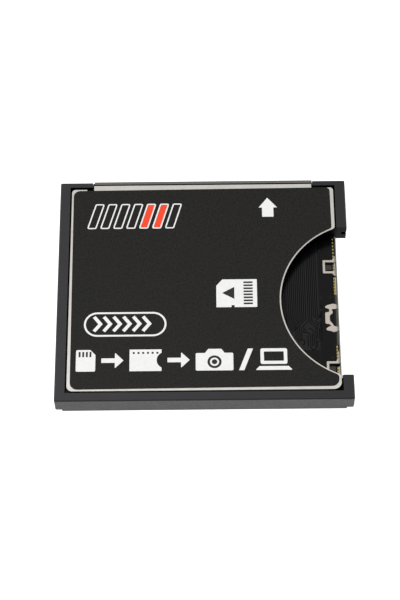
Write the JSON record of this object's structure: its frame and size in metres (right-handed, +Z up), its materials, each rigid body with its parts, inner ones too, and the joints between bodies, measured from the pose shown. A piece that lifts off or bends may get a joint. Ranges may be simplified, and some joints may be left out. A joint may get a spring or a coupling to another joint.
{
  "type": "memory card adapter",
  "caption": "Thin adapter card in a black frame with steel covers and a printed label: a full-size memory card slides in at one side and the 50-way socket edge plugs into a camera or reader.",
  "frame": {"origin": "middle of the overall box in plan, on the underside the adapter rests on", "axes": "+X to the side where the memory card goes in, +Y to the edge with the 50 sockets, +Z up through the printed cover"},
  "size_m": [0.0428, 0.0364, 0.0033],
  "materials": {
    "black_plastic": "fine moulded texture",
    "grey_plastic": "moulded, dark grey",
    "stainless_sheet": "thin rolled sheet, bare",
    "label_film": "fine-grained printed film",
    "solder_mask": "black solder mask over copper tracks",
    "gold_plating": "gold-plated spring metal",
    "chip_epoxy": "moulded epoxy",
    "capacitor_ceramic": "fired ceramic, tan",
    "resistor_film": "black film on ceramic"
  },
  "bodies": {
    "root": {"frame": "black_plastic", "top_cover": "stainless_sheet", "top_label": "label_film", "bottom_cover": "stainless_sheet", "pcb": "solder_mask", "cf_header": "grey_plastic", "sd_contact_comb": "black_plastic", "sd_contact_1": "gold_plating", "sd_contact_2": "gold_plating", "sd_contact_3": "gold_plating", "sd_contact_4": "gold_plating", "sd_contact_5": "gold_plating", "sd_contact_6": "gold_plating", "sd_contact_7": "gold_plating", "sd_contact_8": "gold_plating", "sd_contact_9": "gold_plating", "card_detect_spring": "gold_plating", "write_protect_spring": "gold_plating", "controller_chip": "chip_epoxy", "voltage_regulator": "chip_epoxy", "crystal": "stainless_sheet", "capacitor_1": "capacitor_ceramic", "capacitor_2": "capacitor_ceramic", "capacitor_3": "capacitor_ceramic", "capacitor_4": "capacitor_ceramic", "capacitor_5": "capacitor_ceramic", "capacitor_6": "capacitor_ceramic", "capacitor_7": "capacitor_ceramic", "capacitor_8": "capacitor_ceramic", "resistor_1": "resistor_film", "resistor_2": "resistor_film", "resistor_3": "resistor_film", "resistor_4": "resistor_film", "resistor_5": "resistor_film", "resistor_6": "resistor_film"}
  },
  "joints": []
}
